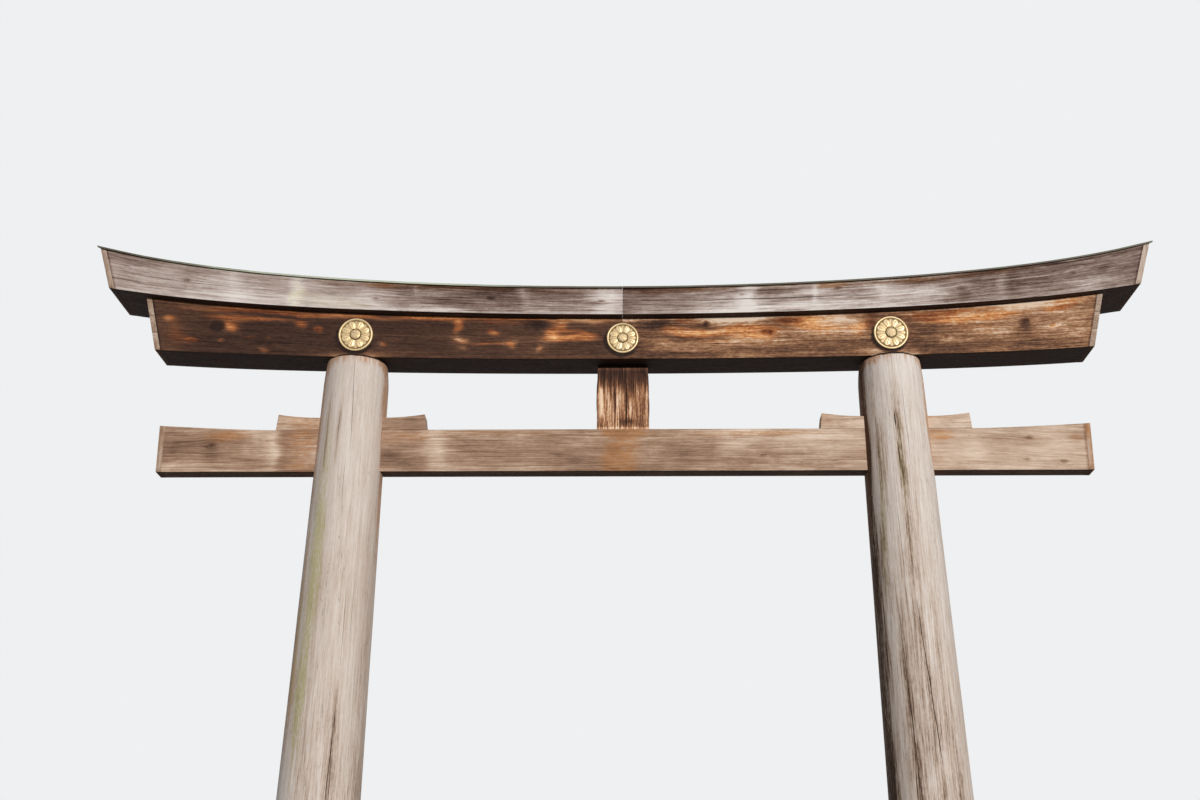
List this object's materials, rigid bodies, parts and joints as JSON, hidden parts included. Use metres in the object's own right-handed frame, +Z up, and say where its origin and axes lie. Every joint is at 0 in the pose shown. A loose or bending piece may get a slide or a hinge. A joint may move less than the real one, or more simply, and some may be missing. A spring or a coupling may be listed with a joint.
{
  "type": "torii gate",
  "caption": "Large timber shrine gate with two inward-leaning round pillars, a wedged tie beam, and two upswept lintels under a copper roof.",
  "frame": {"origin": "on the ground, midway between the two pillars", "axes": "+X along the lintels to the right as seen from the front, +Y through the gate from front to back, +Z up"},
  "size_m": [17.1172, 1.8998, 12.8591],
  "materials": {
    "granite": "rough grey granite",
    "pillar_timber": "silvery weathered cypress with long drying cracks",
    "beam_timber": "light brown weathered cypress",
    "strut_timber": "streaked brown cypress",
    "lower_lintel_timber": "dark brown sheltered cypress",
    "upper_lintel_timber": "silver grey-brown weathered cypress",
    "end_board_timber": "pale bare cypress boards",
    "verdigris_copper": "copper sheet with green patina",
    "gilt_metal": "dull gilt metal with dark recesses"
  },
  "bodies": {
    "root": {"base_stone_left": "granite", "base_stone_right": "granite", "pillar_left": "pillar_timber", "pillar_right": "pillar_timber", "tie_beam": "beam_timber", "tie_beam_end_board_left": "end_board_timber", "tie_beam_end_board_right": "end_board_timber", "wedge_left_outer": "beam_timber", "wedge_left_inner": "beam_timber", "wedge_right_inner": "beam_timber", "wedge_right_outer": "beam_timber", "centre_strut": "strut_timber", "lower_lintel_left": "lower_lintel_timber", "lower_lintel_right": "lower_lintel_timber", "lower_end_board_left_bottom": "end_board_timber", "lower_end_board_left_middle": "end_board_timber", "lower_end_board_left_top": "end_board_timber", "lower_end_board_right_bottom": "end_board_timber", "lower_end_board_right_middle": "end_board_timber", "lower_end_board_right_top": "end_board_timber", "upper_lintel_left": "upper_lintel_timber", "upper_lintel_right": "upper_lintel_timber", "upper_end_board_left": "end_board_timber", "upper_end_board_right": "end_board_timber", "copper_roof_left": "verdigris_copper", "copper_roof_right": "verdigris_copper", "front_boss_left": "gilt_metal", "front_boss_centre": "gilt_metal", "front_boss_right": "gilt_metal", "back_boss_left": "gilt_metal", "back_boss_centre": "gilt_metal", "back_boss_right": "gilt_metal"}
  },
  "joints": []
}
